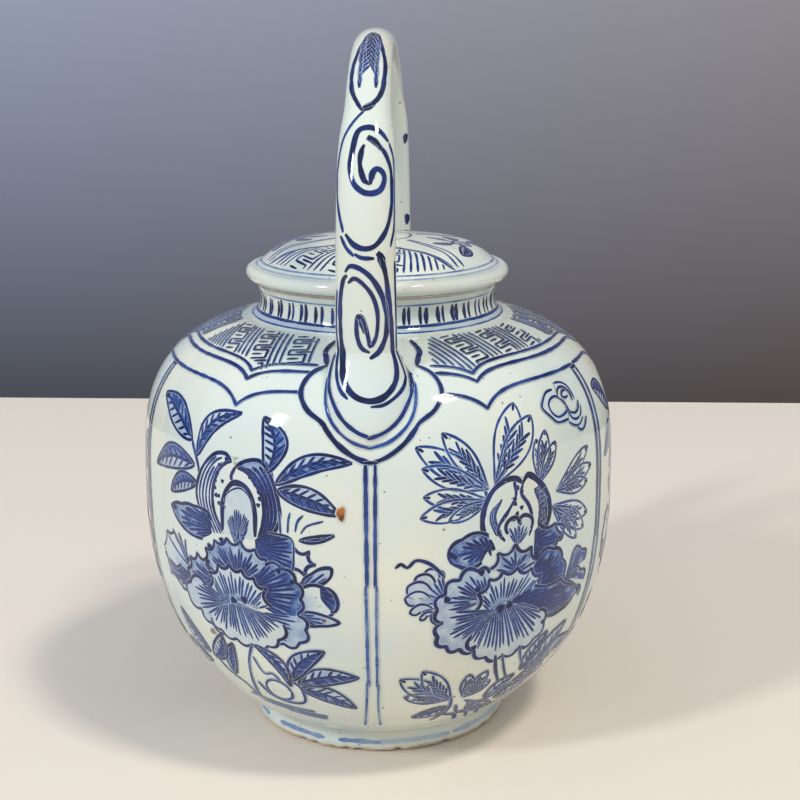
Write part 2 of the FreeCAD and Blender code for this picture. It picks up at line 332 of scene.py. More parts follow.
class Painter:
    """Brush strokes and washes of one area, gathered into one mesh on the glaze."""

    def __init__(self, name, skin, aim, body, slot, seed):
        self.name, self.skin, self.aim, self.body, self.slot = name, skin, aim, body, slot
        self.dice = random.Random(seed)
        self.shift = Vector((seed * 7.3, 0, 0))
        self.points, self.normals, self.inks, self.irons, self.faces = [], [], [], [], []
        self.lift = FIRST_LIFT

    def corner(self, landed, ink, iron):
        place, normal = landed
        self.points.append((place + normal * self.lift) * MM)
        self.normals.append(normal)
        self.inks.append(min(max(ink, 0.0), 1.0))
        self.irons.append(iron)
        return len(self.points) - 1

    def rows(self, rows):
        """Faces between rows of corners; a missing corner leaves a gap."""
        for low, high in zip(rows, rows[1:]):
            for a, b, c, d in zip(low, low[1:], high[1:], high):
                if None not in (a, b, c, d):
                    self.faces.append((a, b, c, d))

    def stroke(self, path, width=0.7, ink=0.75, base=0.0, heap=0.2, thin=0.5, iron=0.0):
        """One stroke of the brush: thin and dark where it starts and stops."""
        length = path_length(path)
        if length < SHORTEST:
            return
        count = max(FEWEST, int(length / STEP) + 1)
        landed = [self.skin.drop(*self.aim(x, y)) for x, y in evenly(path, count)]
        landed = [spot for spot in landed if spot]
        if len(landed) < FEWEST:
            return
        self.lift += STROKE_LIFT
        rows = []
        last = len(landed) - 1
        for i, (place, normal) in enumerate(landed):
            along = landed[min(i + 1, last)][0] - landed[max(i - 1, 0)][0]
            side = normal.cross(along).normalized()
            inward = min(i, last - i) * STEP
            hand = noise.noise(place * 0.3 + self.shift)
            load = noise.noise(place * 0.13 - self.shift)
            taper = thin + (1 - thin) * min(1.0, inward / max(1.2, 1.6 * width))
            half = max(width * BRUSH / 2 * taper * (1 + UNSTEADY * hand), FINEST)
            strength = ink * (1 + 0.3 * load) + heap * math.exp(-inward / 0.9)
            row = []
            middle = half - EDGE
            for offset, value in (
                (half + EDGE, base),
                (middle, strength),
                (0.0, strength),
                (-middle, strength),
                (-half - EDGE, base),
            ):
                spot = self.skin.drop(place + side * offset + normal * NEARBY, -normal)
                row.append(self.corner(spot, value, iron) if spot else None)
            rows.append(row)
        self.rows(rows)

    def line(self, points, *args, **settings):
        self.stroke(curve(points), *args, **settings)

    def fill(self, first, second, ink, fade=0.0):
        """A wash between two lines that run side by side; fade lightens it to the second."""
        longest = max(path_length(first), path_length(second))
        count = max(4, int(longest / WASH_STEP))
        first, second = evenly(first, count), evenly(second, count)
        widest = max(math.dist(a, b) for a, b in zip(first, second))
        steps = max(2, int(widest / WASH_STEP))
        self.lift += WASH_LIFT
        rows = []
        for a, b in zip(first, second):
            row = []
            for i in range(steps + 1):
                spot = self.skin.drop(*self.aim(*between(a, b, i / steps)))
                if not spot:
                    row.append(None)
                    continue
                cloud = noise.noise(spot[0] * 0.4 + self.shift)
                value = ink * (1 - fade * i / steps) * (1 + GRAIN * cloud)
                row.append(self.corner(spot, value, 0.0))
            rows.append(row)
        self.rows(rows)
        self.lift += WASH_LIFT

    def spot(self, x, y, radius, ink=0.9, tall=1.0, iron=0.0):
        """A round touch of the brush."""
        turns = [2 * math.pi * i / 10 for i in range(11)]
        centre = self.skin.drop(*self.aim(x, y))
        if not centre:
            return
        self.lift += SPOT_LIFT
        rings = [[self.corner(centre, ink, iron)] * 11]
        for share, value, rust in ((0.72, ink, iron), (1.0, 0.0 if iron else 0.4 * ink, 0.0)):
            ring = []
            for turn in turns:
                wobble = 1 + 0.18 * math.sin(3 * turn + x)
                reach = radius * share * wobble
                landed = self.skin.drop(
                    *self.aim(x + reach * math.cos(turn), y + reach * tall * math.sin(turn))
                )
                ring.append(self.corner(landed, value, rust) if landed else None)
            rings.append(ring)
        for low, high in zip(rings, rings[1:]):
            for a, b, c, d in zip(low, low[1:], high[1:], high):
                if None in (a, b, c, d):
                    continue
                self.faces.append((a, c, d) if a == b else (a, b, c, d))
        self.lift -= SPOT_LIFT - STROKE_LIFT

    def finish(self):
        """The painted area as one piece that rides its body."""
        faces = []
        for face in self.faces:
            upright = face_normal([self.points[i] for i in face]).dot(self.normals[face[0]])
            faces.append(face[::-1] if upright < 0 else face)
        mesh = bpy.data.meshes.new(self.name)
        mesh.from_pydata(self.points, [], faces)
        for key, values in (("ink", self.inks), ("iron", self.irons)):
            mesh.attributes.new(key, "FLOAT", "POINT").data.foreach_set("value", values)
        for face in mesh.polygons:
            face.use_smooth = True
        mesh.normals_split_custom_set_from_vertices(self.normals)
        mesh.materials.append(glaze)
        piece = bpy.data.objects.new(self.name, mesh)
        bpy.context.scene.collection.objects.link(piece)
        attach(piece, self.body)

    # -- Motifs --

    def leaf(self, root, tip, width, bend=0.0, ink=0.4, veins=7, tipped=True):
        """Leaf filled with a wash and slanting veins. bend pushes its middle to the left."""
        ground = self.lift
        dx, dy = tip[0] - root[0], tip[1] - root[1]
        length = math.hypot(dx, dy)
        left = (-dy / length, dx / length)
        middle, upper, lower = [], [], []
        for i in range(25):
            t = i / 24
            x = root[0] + dx * t + left[0] * bend * math.sin(math.pi * t)
            y = root[1] + dy * t + left[1] * bend * math.sin(math.pi * t)
            half = width / 2 * math.sin(math.pi * t**0.9) ** 0.8
            middle.append((x, y))
            upper.append((x + left[0] * half, y + left[1] * half))
            lower.append((x - left[0] * half, y - left[1] * half))
        self.fill(upper, middle, ink * 0.6)
        self.fill(middle, lower, ink + 0.12)
        self.stroke(middle[1:22], 0.7, ink + 0.42, ink)
        for edge in (upper, lower):
            for k in range(veins):
                i = 2 + round(k * 18 / max(veins - 1, 1))
                end = between(middle[min(i + 3, 24)], edge[min(i + 3, 24)], 0.82)
                self.stroke([middle[i], end], 0.55, ink + 0.4, ink, heap=0.1)
            self.stroke(edge, 0.7, 0.84, thin=0.8)
        if tipped:
            self.stroke([middle[21], tip], 1.5, 0.95, ink)
        self.lift = ground + STROKE_LIFT

    def open_leaf(self, root, tips, spread=0.3, heart=0.62):
        """Leaf of several long lobes in outline, with a dark feathered brushmark inside."""
        for tip in tips:
            dx, dy = tip[0] - root[0], tip[1] - root[1]
            left = (-dy * spread, dx * spread)
            for sign in (1, -1):
                lobe = []
                for i in range(25):
                    x, y = between(root, tip, i / 24)
                    half = sign * 0.62 * math.sin(math.pi * (i / 24) ** 1.3) ** 0.8
                    lobe.append((x + left[0] * half, y + left[1] * half))
                self.stroke(lobe, 0.6, 0.66, thin=0.8)
            self.stroke([root, between(root, tip, 0.66)], 0.7, 0.68)
            for k in range(5):
                foot = between(root, tip, 0.22 + 0.1 * k)
                for sign in (1, -1):
                    end = between(root, tip, 0.36 + 0.11 * k)
                    reach = 0.24 + 0.1 * self.dice.random()
                    end = (end[0] + sign * left[0] * reach, end[1] + sign * left[1] * reach)
                    self.stroke([foot, end], 0.75, heart + 0.2 * self.dice.random())
            self.stroke([between(root, tip, 0.9), tip], 1.0, 0.85)

    def petal(self, inner, cusps, bulge=0.3, wash=0.1, hatch=8, reach=(0.05, 0.84), edge=0.85):
        """Petal from an inner line to a scalloped edge, hatched from one to the other."""
        rim = scallops(cusps, SCALLOPED * bulge) if bulge else curve(cusps)
        count = max(len(rim), 12)
        rim = evenly(rim, count)
        root = evenly(curve(inner), count) if len(inner) > 1 else inner * count
        self.fill(root, rim, wash + 0.05)
        shaded = [between(a, b, 0.62) for a, b in zip(root, rim)]
        self.fill(root, shaded, wash + 0.34, fade=0.29 / (wash + 0.34))
        hatch = round(HATCHING * hatch)
        for k in range(hatch):
            i = round((k + 0.5) * (count - 1) / hatch)
            near = between(root[i], rim[i], reach[0] * self.dice.uniform(0.5, 1.5))
            far = between(root[i], rim[i], reach[1] * self.dice.uniform(0.84, 1.06))
            self.stroke([near, far], 0.6, 0.62 + wash * 0.4, wash, heap=0.2, thin=0.4)
        self.stroke(rim, edge, 0.88, thin=0.8)

    def stripes(self, one, two, count, width=0.5, ink=0.55, base=0.0, span=(0.04, 0.92)):
        """Lines that run alongside two others, evenly between them."""
        one, two = evenly(curve(one), 16), evenly(curve(two), 16)
        for k in range(count):
            share = (k + 1) / (count + 1)
            path = [between(a, b, share) for a, b in zip(one, two)]
            first = int(16 * span[0])
            last = int(16 * span[1] * self.dice.uniform(0.85, 1.0))
            self.stroke(path[first:last], width, ink, base)

    def clipped(self, path, inside, **settings):
        """The parts of a line that lie inside an area."""
        run = []
        for spot in evenly(path, max(2, int(path_length(path) / 0.4))):
            if inside(*spot):
                run.append(spot)
                continue
            if len(run) >= FEWEST:
                self.stroke(run, **settings)
            run = []
        if len(run) >= FEWEST:
            self.stroke(run, **settings)


# ---- Drawings of the two kinds of panel -----------------------------------------------


def peony_with_bud(p):
    """Left-hand design: a peony under a dotted bud, with dark filled leaves."""
    p.line([(-20, 108), (-16, 100), (-15, 90)], 0.9, 0.7)
    p.line([(10, 104), (11, 97), (13, 88)], 0.9, 0.7)
    for root, tip, width, bend in (
        ((-20, 108), (-42.5, 117.5), 8.6, -1.5),
        ((-17, 104), (-2, 118.5), 5.4, 4.0),
        ((-18, 101), (-44, 95.5), 7.4, -2.6),
        ((-17, 96), (-32, 90), 5.6, -1.6),
        ((9, 103), (5.5, 118.5), 7.4, -3.2),
        ((11.5, 100), (33, 107.3), 5.2, 3.0),
        ((12, 98.5), (30, 92.5), 6.2, 1.2),
    ):
        p.leaf(root, tip, width, bend)
    # Bud
    left = [(-12, 82), (-17, 92), (-15, 100), (-10, 105.5), (-5.5, 106.5), (-3, 104.5)]
    inner_left = [(-6, 83), (-9.5, 89), (-10, 95), (-8, 101), (-5, 104), (-3, 104.5)]
    right = [(9, 83), (12.5, 89), (12.5, 95), (10, 102), (6.5, 106), (2, 105.5), (-1.5, 103.5)]
    inner_right = [(6, 83), (8, 90), (7.5, 96), (5, 100), (3, 102), (1, 103), (-1.5, 103.5)]
    p.fill(curve(left), curve(right), 0.0)
    p.fill(curve(inner_right), curve(right), 0.42)
    p.stripes(left, inner_left, 4, 0.6, 0.66)
    p.stripes(right, inner_right, 3, 0.7, 0.85, 0.42)
    p.line(inner_left, 0.9, 0.85)
    p.line(inner_right, 1.0, 0.9, 0.42)
    p.line(left, 0.85, 0.85)
    p.line(right, 0.9, 0.88)
    p.line([(-1.5, 103.5), (-3, 100.5), (-2.2, 98.6)], 0.9, 0.85)
    for i in range(7):
        p.spot(-5 - 4.2 * math.sin(i * 0.42), 105 - 2.2 * i, 0.75)
        p.spot(1.5 + 5.2 * math.sin(i * 0.4), 103 - 1.9 * i, 0.7)
    for x, y in ((-7.5, 103), (-6.2, 98.5), (-7.6, 94), (-5.6, 91), (8.8, 98), (9.4, 92), (5, 103.5)):
        p.spot(x, y, 0.65)
    heart = [(-6.5, 84), (-6, 93), (-3.2, 98), (0, 98.8), (3, 97.2), (5, 92), (5, 84)]
    p.fill([(-6.5, 83), (5, 83)], curve(heart), 0.12)
    p.petal([(-1, 79)], [(-6, 90), (-4.6, 95), (0, 97.5), (3.6, 95), (4.6, 90)], 0.0, 0.08, 11,
            (0.2, 0.72), 0.4)
    p.line(heart, 1.2, 0.93)
    # Petals between the bud and the flower
    p.petal([(-11, 82), (-11, 84.5), (-11, 87)],
            [(-15, 79.6), (-26, 81.2), (-32, 85.5), (-25, 87.6), (-19, 88.5), (-12, 88)],
            0.05, 0.36, 9, (0.05, 0.85))
    p.line([(-32, 85.4), (-28.5, 85.6)], 1.8, 0.95, 0.4)
    p.petal([(8, 77), (8, 84)],
            [(14, 74.6), (20, 74), (23.4, 77.6), (21.4, 81.6), (17, 82.4), (15, 85.4), (9, 86)],
            0.2, 0.02, 0)
    p.petal([(5, 79), (5, 83)], [(9, 75.5), (15.6, 74.8), (16.8, 80), (16, 85), (9, 86)],
            0.0, 0.42, 13, (0.0, 0.98), 0.5)
    grass = ((13, 86, -0.4, 6.5), (15.2, 86.5, 0.8, 6), (17.4, 87, 2.4, 5), (19, 86.6, 6.5, 4))
    for x, y, lean, tall in grass:
        p.line([(x, y), (x + lean * 0.3, y + tall * 0.6), (x + lean, y + tall)], 0.6, 0.62)
    p.leaf((18.5, 84.6), (28.6, 86.6), 1.8, -0.4, 0.3, veins=2, tipped=False)
    # Flowers at the sides
    p.petal([(16, 70), (17, 66)], [(19, 72), (22, 75), (27.5, 77), (27, 74), (22, 71.6), (19, 69)],
            0.08, 0.25, 6, (0.1, 0.85), 0.8)
    p.petal([(17, 66), (17, 64)],
            [(19, 70.5), (25, 71), (28.4, 67.4), (27.6, 63.6), (22, 61.4), (18, 62.6)],
            0.1, 0.02, 0)
    p.petal([(24, 71), (24, 68)], [(26, 71), (28.6, 67.6), (27.8, 63.6), (26.6, 63.8)], 0.1, 0.4, 6,
            (0.1, 0.9))
    p.petal([(16, 62), (16, 60)], [(19, 63), (24, 62.4), (29, 60), (23, 58.8), (18, 58.8)], 0.04, 0.2, 5,
            (0.1, 0.8), 0.75)
    p.spot(24.4, 60.6, 0.9, 0.5, 0.8, iron=0.8)
    p.petal([(-22, 68), (-22, 64)],
            [(-25, 74), (-31, 77.4), (-37, 76), (-41, 70), (-39, 64), (-32, 61.4), (-25, 61)],
            0.08, 0.05, 0, edge=0.8)
    for tip in ((-32, 78), (-28, 78), (-24, 77), (-36, 75)):
        p.line([(-23, 69), ((tip[0] - 24) / 2, tip[1] - 3), tip], 0.7, 0.7)
    p.petal([(-22, 66), (-24, 63)], [(-28, 68), (-36, 66), (-41, 68), (-38, 61.6), (-30, 60)],
            0.1, 0.4, 9, (0.05, 0.9), 0.75)
    # The open flower, from its back petals to the front ones
    p.petal([(-4, 68), (2, 68)],
            [(12, 74), (8.5, 78), (5, 80.5), (0, 82), (-5, 82), (-10, 80.5), (-14, 77), (-15, 73)],
            0.22, 0.3, 15, (0.1, 0.85))
    p.petal([(-4, 62), (-5, 68)],
            [(-12, 71), (-13, 74.8), (-18, 74.6), (-22, 72.5), (-24, 68), (-25, 63), (-29.5, 60)],
            0.24, 0.3, 12, (0.15, 0.85))
    p.petal([(4, 70), (3, 65)],
            [(8, 76), (13, 75.5), (17, 72), (18, 67), (17, 62.5), (14, 59)],
            0.2, 0.4, 12, (0.05, 0.88))
    p.petal([(5, 61), (4, 58)], [(17, 61.5), (18.5, 57), (16, 52.5), (11, 51.5), (8, 53)],
            0.24, 0.22, 8, (0.1, 0.75))
    p.petal([(4, 61.8), (-3, 63.2), (-9, 61)],
            [(9, 63.5), (8, 69), (4, 71.6), (0, 73.4), (-4.5, 74.2), (-9, 73.4), (-13, 70), (-13.5, 65)],
            0.22, 0.1, 15, (0.15, 0.82))
    p.petal([(-5, 61.5), (-6, 62.5)],
            [(-9, 50.8), (-15, 52), (-19, 56), (-25.5, 59.5), (-23, 63.5), (-15, 65)][::-1],
            -0.22, 0.16, 12, (0.1, 0.8))
    p.petal([(-9, 60.4), (-3, 62.6), (4, 61.2)],
            [(-15, 54), (-11, 51), (-5.5, 49.6), (0, 49), (5.5, 49.6), (9.5, 52.5), (12, 58)],
            -0.2, 0.08, 17, (0.05, 0.78))
    for x, y, radius in ((-12, 78, 1.0), (-7, 81, 0.9), (0, 64, 1.3), (-4, 63, 1.2), (16, 72, 0.9),
                         (-13, 73, 0.9), (12, 75, 1.0), (-23, 71, 0.8)):
        p.spot(x, y, radius, 0.95)
    # Ground plants and the open round fruit
    p.line([(0, 49), (-3, 42), (-5, 33), (-6, 24)], 0.8, 0.6)
    for root, tip, width, bend in (
        ((10, 37), (23, 50), 6.0, 2.2), ((12, 36), (31, 40), 6.6, 2.0), ((12, 34), (26, 25), 7.0, 2.2),
        ((1, 49), (9, 34), 4.2, 3.0), ((-20, 37), (-12, 49), 6.0, -1.5), ((-12, 33), (-8, 47), 4.4, 1.0),
        ((-22, 38), (-36, 50), 7.0, 1.0), ((-24, 33), (-40, 36), 6.0, 1.5),
    ):
        p.leaf(root, tip, width, bend, veins=6)
    ring = [(4 + 4.2 * math.cos(a * 0.7), 31 + 4.6 * math.sin(a * 0.7)) for a in range(10)]
    p.fill([(4, 31)] * 10, ring, 0.0)
    p.line(ring, 0.8, 0.62)
    p.line([(-1, 44), (1, 38), (4, 38.5), (6, 36)], 0.7, 0.6)
    p.line([(8, 38), (12, 34), (11, 27), (6, 25), (0, 27), (-3, 33)], 0.8, 0.66)
    p.line([(-19, 38), (-15, 33), (-9, 29), (-6, 22)], 0.8, 0.55)
    for y, start, end in ((22, -10, 12), (19.5, -6, 15), (17.5, 2, 14)):
        p.line([(start, y + 2), (start * 0.4 + end * 0.6, y), (end, y - 1)], 0.9, 0.5)
    p.spot(-16, 48.6, 1.5, 0.3, 0.8, iron=0.8)
    p.spot(30.5, 93, 1.5, 0.0, 1.7, iron=1.0)


def peony_with_open_leaves(p):
    """Right-hand design: a peony and bud with outlined leaves that hold dark brushmarks."""
    p.line([(-5, 94), (-7, 101), (-11, 110)], 0.8, 0.75)
    p.open_leaf((-5, 98), [(-25, 111.5), (-17, 115), (-24, 105.5)], 0.24)
    p.open_leaf((-3, 99), [(7, 121), (12, 116.5)], 0.3)
    p.open_leaf((13, 97), [(12.5, 109.5), (16.5, 111.5), (20.5, 107.5)], 0.26)
    p.open_leaf((20, 93), [(39, 102), (41, 96), (38.5, 91.5)], 0.2)
    p.open_leaf((18, 89), [(39, 81.5), (37, 77.5), (32, 75.5)], 0.2)
    p.open_leaf((-5, 95), [(-24, 97.5), (-25, 91.5), (-17, 90)], 0.24)
    # Bud
    left = [(-3, 80), (-6.6, 86), (-6.5, 92), (-4, 97), (0, 99.6), (4, 99.8), (6.5, 98)]
    right = [(13, 80), (17, 86), (16.5, 92), (13, 97), (9, 100), (7.5, 99.4), (6.5, 98)]
    p.fill(curve(left), curve(right), 0.0)
    p.line(left, 1.3, 0.92)
    p.stripes([(-3, 84), (-5, 90), (-2, 95)], [(0, 84), (-2.4, 90), (1, 96.4)], 3, 0.7, 0.8)
    p.line([(0.4, 82), (-2, 86), (1.6, 91), (4, 95), (3.4, 99.4)], 0.9, 0.86)
    p.line([(6.5, 98), (6, 95), (8.8, 91), (10.2, 86), (9, 82)], 0.9, 0.88)
    for i in range(8):
        p.spot(4.6 + 1.5 * math.sin(i * 1.9), 97 - 1.5 * i, 0.75)
    p.stripes([(16.6, 84), (16.4, 91), (11.5, 98)], [(12, 84), (12.4, 91), (9, 97)], 6, 0.9, 0.85)
    for k in range(8):
        p.stroke([(12.4, 83 + 1.7 * k), (15.6, 84.6 + 1.6 * k)], 0.7, 0.85)
    p.line(right, 1.4, 0.94)
    p.fill([(1.4, 82), (2, 86), (4, 88)], [(8.6, 82), (8, 86), (6, 88)], 0.06)
    p.petal([(5, 80)], [(1.4, 84), (2.4, 88.4), (5.2, 86.6), (8, 88.4), (9.6, 84)], 0.2, 0.08, 6,
            (0.1, 0.75), 1.0)
    # Petals on both sides below the bud
    p.petal([(-4, 78), (-4, 83)], [(-7, 77), (-14, 76.8), (-17, 80.5), (-13, 84.4), (-5, 84.6)][::-1],
            -0.12, 0.42, 8, (0.05, 0.85))
    p.line([(-17, 81), (-14.5, 79)], 2.0, 0.97, 0.4)
    p.petal([(11, 76), (11, 83)], [(13, 75), (20, 75.4), (24.4, 79), (20, 83.4), (13, 84.6)],
            0.12, 0.46, 8, (0.05, 0.85))
    p.line([(20, 83), (24, 81.5), (23.6, 78), (21.6, 77.4)], 0.8, 0.85)
    # Flower at the left side
    for rise, reach in ((10, 3), (10.5, 6), (8.5, 9), (5.5, 11.5), (2, 12), (-2.5, 10.5), (-5, 7.5)):
        tip = (-17 - reach, 66 + rise)
        p.petal([(-17, 65), (-17, 66.5)],
                [(-18 - reach * 0.6, 65 + rise * 0.5), tip, (-17 - reach * 0.4, 66.5 + rise * 0.7)],
                0.2, 0.18, 2, (0.2, 0.8), 0.6)
    p.line([(-32, 77.2), (-30.4, 78.4), (-28.5, 77.4), (-26, 79.4), (-22, 78), (-18, 74)], 0.8, 0.85)
    # Flower at the right edge
    for rise, reach in ((4, 12), (-3, 13), (-8, 11)):
        p.petal([(27, 64), (27, 62)],
                [(29, 64 + rise), (27 + reach * 0.8, 66 + rise), (27 + reach, 62 + rise)][::-1],
                -0.3, 0.4, 4, (0.1, 0.8), 0.7)
    # The open flower
    p.petal([(-2, 70), (10, 70)], [(14, 74), (10, 78.6), (4, 80.6), (-2, 79), (-5, 74.5)],
            0.2, 0.3, 10, (0.1, 0.85))
    p.petal([(8, 66), (9, 62)], [(13, 74.6), (19, 75.6), (24, 71), (25.6, 65.6), (25, 62)],
            0.16, 0.5, 14, (0.05, 0.9), 0.9)
    p.petal([(-4, 66), (-4, 63)],
            [(-18.5, 59), (-19.5, 64), (-17.5, 68.6), (-13.5, 72.4), (-8, 74.4), (-4.5, 73.4)],
            0.26, 0.2, 13, (0.3, 0.82), 0.95)
    p.petal([(7, 62.2), (1, 63.2), (-4, 61)],
            [(15.5, 64), (14.6, 69), (10.5, 72), (5, 73.4), (0, 73.2), (-4.6, 71.6), (-8, 67.6),
             (-8.4, 62)],
            0.2, 0.1, 15, (0.2, 0.85), 0.9)
    p.petal([(-3, 60), (-2, 61.5)],
            [(-5.5, 50), (-11.5, 50), (-15.6, 51.5), (-18.6, 55), (-17.4, 59.6), (-19.4, 64)],
            0.26, 0.22, 12, (0.1, 0.78), 0.95)
    p.petal([(4, 60), (4, 63.5)],
            [(14, 55), (20, 53), (33, 53.6), (38, 56.4), (33, 60), (24, 64.8), (12, 66)],
            0.06, 0.46, 15, (0.05, 0.9), 0.8)
    p.line([(19, 53.4), (26, 52.8), (33, 53.8)], 1.2, 0.95)
    p.petal([(-5, 60.2), (1, 62.4), (7, 61.6)],
            [(-8.4, 54), (-6.6, 48.4), (-2.4, 45.2), (3.6, 44.2), (9.6, 45.6), (15.4, 46.8),
             (18.6, 51.5), (15, 57)],
            -0.22, 0.12, 19, (0.05, 0.8), 0.95)
    for x, y, radius in ((-7, 74, 1.1), (-17, 67, 1.1), (0, 61.5, 1.6), (3, 62, 1.3), (12, 75, 1.2),
                         (-8, 69, 1.0), (-7, 49.6, 1.0), (18, 52, 1.0)):
        p.spot(x, y, radius, 0.97)
    # Stems, ground plants and roots
    p.line([(1, 45), (3, 38), (6, 31), (6, 24)], 0.9, 0.8)
    p.line([(3.4, 45), (6, 38), (9, 31), (8, 24)], 0.7, 0.7)
    p.line([(9.6, 46), (13, 38), (18, 32)], 0.8, 0.6)
    p.open_leaf((-9, 28), [(-27, 39.5), (-21, 42.5), (-24, 31.5)], 0.26)
    p.open_leaf((-5, 28), [(-6, 39), (0, 39), (2.4, 34)], 0.3)
    p.leaf((-9, 24), (-18, 19), 5.0, 0.6, veins=5)
    for root, tip, width in (((14, 34), (22, 47), 6), ((17, 33), (34, 46), 8), ((18, 31), (41, 38), 7),
                             ((14, 29), (30, 27), 6)):
        p.leaf(root, tip, width, 1.0, veins=6)
    p.leaf((3, 25), (12, 33), 4.6, 1.0, veins=4)
    p.leaf((8, 22), (21, 24), 5.0, 1.0, veins=5)
    p.leaf((-2, 21), (9, 18), 3.6, 0.8, veins=4)
    p.line([(-4, 26), (3, 23), (10, 27), (16, 31), (20, 34)], 0.9, 0.62)
    p.line([(-2, 19), (6, 16), (14, 19), (22, 24), (28, 30)], 0.8, 0.5)
    for bow in (0, 4, 8):
        p.line([(-10 + bow, 24), (-8 + bow, 19), (-4 + bow, 17), (-2 + bow, 12)], 1.0, 0.6)
    p.line([(-9, 29), (-8, 22), (-11, 15)], 0.9, 0.7)


def cloud(p, x, y):
    """Small cloud: a ring and a coil inside a pale band, over a trail of stacked arcs."""
    band = [(-4.1, 5.7), (-7.6, 5.2), (-10.2, 2.8), (-10.8, 1.0), (-8.2, -1.7), (-5.1, -4.0), (0.5, -4.1)]
    ring = [(-1.8, 2.4), (-3.8, 3.5), (-6.4, 3.1), (-7.9, 1.4), (-7.1, -0.9), (-4.3, -2.6), (0.3, -1.7)]
    top = [(-2.5, 3.1), (-1.8, 5.0), (0.0, 5.7), (2.5, 5.0), (4.6, 3.1), (5.1, 0.7)]
    roof = [(-2.3, 7.3), (0.5, 7.1), (3.1, 6.1), (5.1, 4.2), (6.6, 0.7)]
    coil = [(3.1, 2.4), (1.0, 2.2), (-0.3, 3.1), (0.5, 4.3), (2.5, 4.3)]
    trail = [
        [(0.5, 0.3), (2.0, -2.2), (5.1, -3.1), (7.4, -2.2), (8.4, 0.0)],
        [(1.0, -1.7), (2.6, -4.2), (5.6, -5.0), (8.2, -4.2), (9.2, -1.7)],
        [(0.5, -5.0), (2.6, -6.2), (5.1, -6.9), (7.6, -6.6), (9.4, -5.2)],
        [(5.1, -7.1), (6.4, -8.3), (8.4, -8.8), (10.2, -7.8), (11.5, -5.5)],
    ]

    def placed(points):
        return curve([(x + a, y + b) for a, b in points])

    for one, two in ((band, ring), (roof, top), (trail[0], trail[1]), (trail[1], trail[2])):
        p.fill(placed(one), placed(two), 0.1)
    for line in (band, ring + [(0.4, 0.4), (-1.8, 2.4)], top, roof, coil, *trail):
        p.stroke(placed(line), 0.62, 0.74)


# ---- Borders -----------------------------------------------------------------------


def cusped(level, depth, spread):
    """Line across a panel that dips to a point at its middle."""
    return [(x, level - depth * math.exp(-abs(x) / spread)) for x in range(-46, 47)]


def key_row(start, run, rise, units):
    """A row of the meander: a stepped wave with a short stem in every step."""
    wave = [(0, 0), (0, 1), (0.62, 1), (0.62, 0), (1, 0)]
    stems = ([(0.31, 0), (0.31, 0.66)], [(0.81, 1.25), (0.81, 0.36)])

    def placed(points, k):
        return [
            (start[0] + run[0] * (k + a) + rise[0] * b, start[1] + run[1] * (k + a) + rise[1] * b)
            for a, b in points
        ]

    rows = [[spot for k in range(units) for spot in placed(wave, k)]]
    return rows + [placed(stem, k) for k in range(units) for stem in stems]


FRET_WIDTH, STRIPE_GAP, ROW_WIDTH = 0.62, 1.9, 7.0


def meander(p, inside, left, right, bottom, top):
    """Slanting rows of key fret with plain stripes between them, cut to an area."""
    height = top - bottom
    lean = height * 0.45
    middle = top - height * 0.3
    x, kind = left - lean - 8, 0
    while x < right + 8:
        if kind % 2 or not (inside(x + 1, middle) and inside(x + ROW_WIDTH, middle)):
            for _ in range(3):
                stripe = [(x, top + 1), (x + lean, bottom - 7)]
                p.clipped(stripe, inside, width=FRET_WIDTH, ink=0.72)
                x += STRIPE_GAP
        else:
            along = (lean * 0.22, -(height + 8) * 0.22)
            for path in key_row((x, top + 1), along, (5.0, 1.1), 6):
                p.clipped(path, inside, width=FRET_WIDTH, ink=0.86)
            x += ROW_WIDTH
        kind += 1


def collar(p, side):
    """Borders round the shoulder of one panel. side is -1 or 1 beside a handle root."""

    def inside(x, y):
        radius = body_track.at(y)[0][0]
        edge = PANEL_TURN / 2 * radius
        start, stop = -edge + 1, edge - 1
        # Away from the root the panel reaches past the crease, to the painted upright there
        if side > 0:
            start -= 0.16 * radius
        elif side < 0:
            stop += 0.11 * radius
        if side:
            cut = edge - 16 - 0.35 * max(0, 142 - y)
            start, stop = (start, cut) if side > 0 else (-cut, stop)
        lower = 137.6 - 5.2 * math.exp(-abs(x + 2) / 5)
        return start < x < stop and lower < y < 151.6

    low, high = -45.0, 42.0
    if side > 0:
        high = 15.0
    elif side < 0:
        low = -14.0
    shift = -2.0 - 3 * max(0, side)
    for level, depth, width, spread in ((137, 5, 0.8, 5), (134, 5, 0.95, 5), (127, 6.5, 0.85, 5.5)):
        points = [(x + shift, y) for x, y in cusped(level, depth, spread)]
        p.stroke([(x, y) for x, y in points if low < x < high], width, 0.76)
    meander(p, inside, -44, 40, 132, 151)
    if side:
        edge = [(16.5, 137), (14.4, 140.5), (12.5, 144), (12, 150)]
        p.line(mirrored(edge, side), 1.2, 0.9)


def cartouche(p, side):
    """One half of the lobed frame round a handle root, on the panel beside it."""
    outer = [(38.6, 107), (33, 109.2), (28, 112.6), (24.6, 116), (22.4, 118.4), (17.4, 121.6),
             (14, 126), (13.2, 130), (14, 134), (16.5, 137)]
    middle = [(38.4, 111.4), (33, 112.8), (28.6, 115.4), (24.6, 119.4), (21.6, 125), (20, 131)]
    inner = [(37.8, 114), (33, 115.8), (28.4, 119), (24.6, 123.4), (21.4, 128.6), (20.2, 134),
             (20.6, 139)]
    p.line(mirrored(outer, side), 1.25 if side > 0 else 1.0, 0.86)
    p.line(mirrored(middle, side), 0.8, 0.6)
    p.line(mirrored(inner, side), 0.9, 0.78)


CARTOUCHE_POINT, COLLAR_EDGE = 107.5, 126.0  # where the uprights start


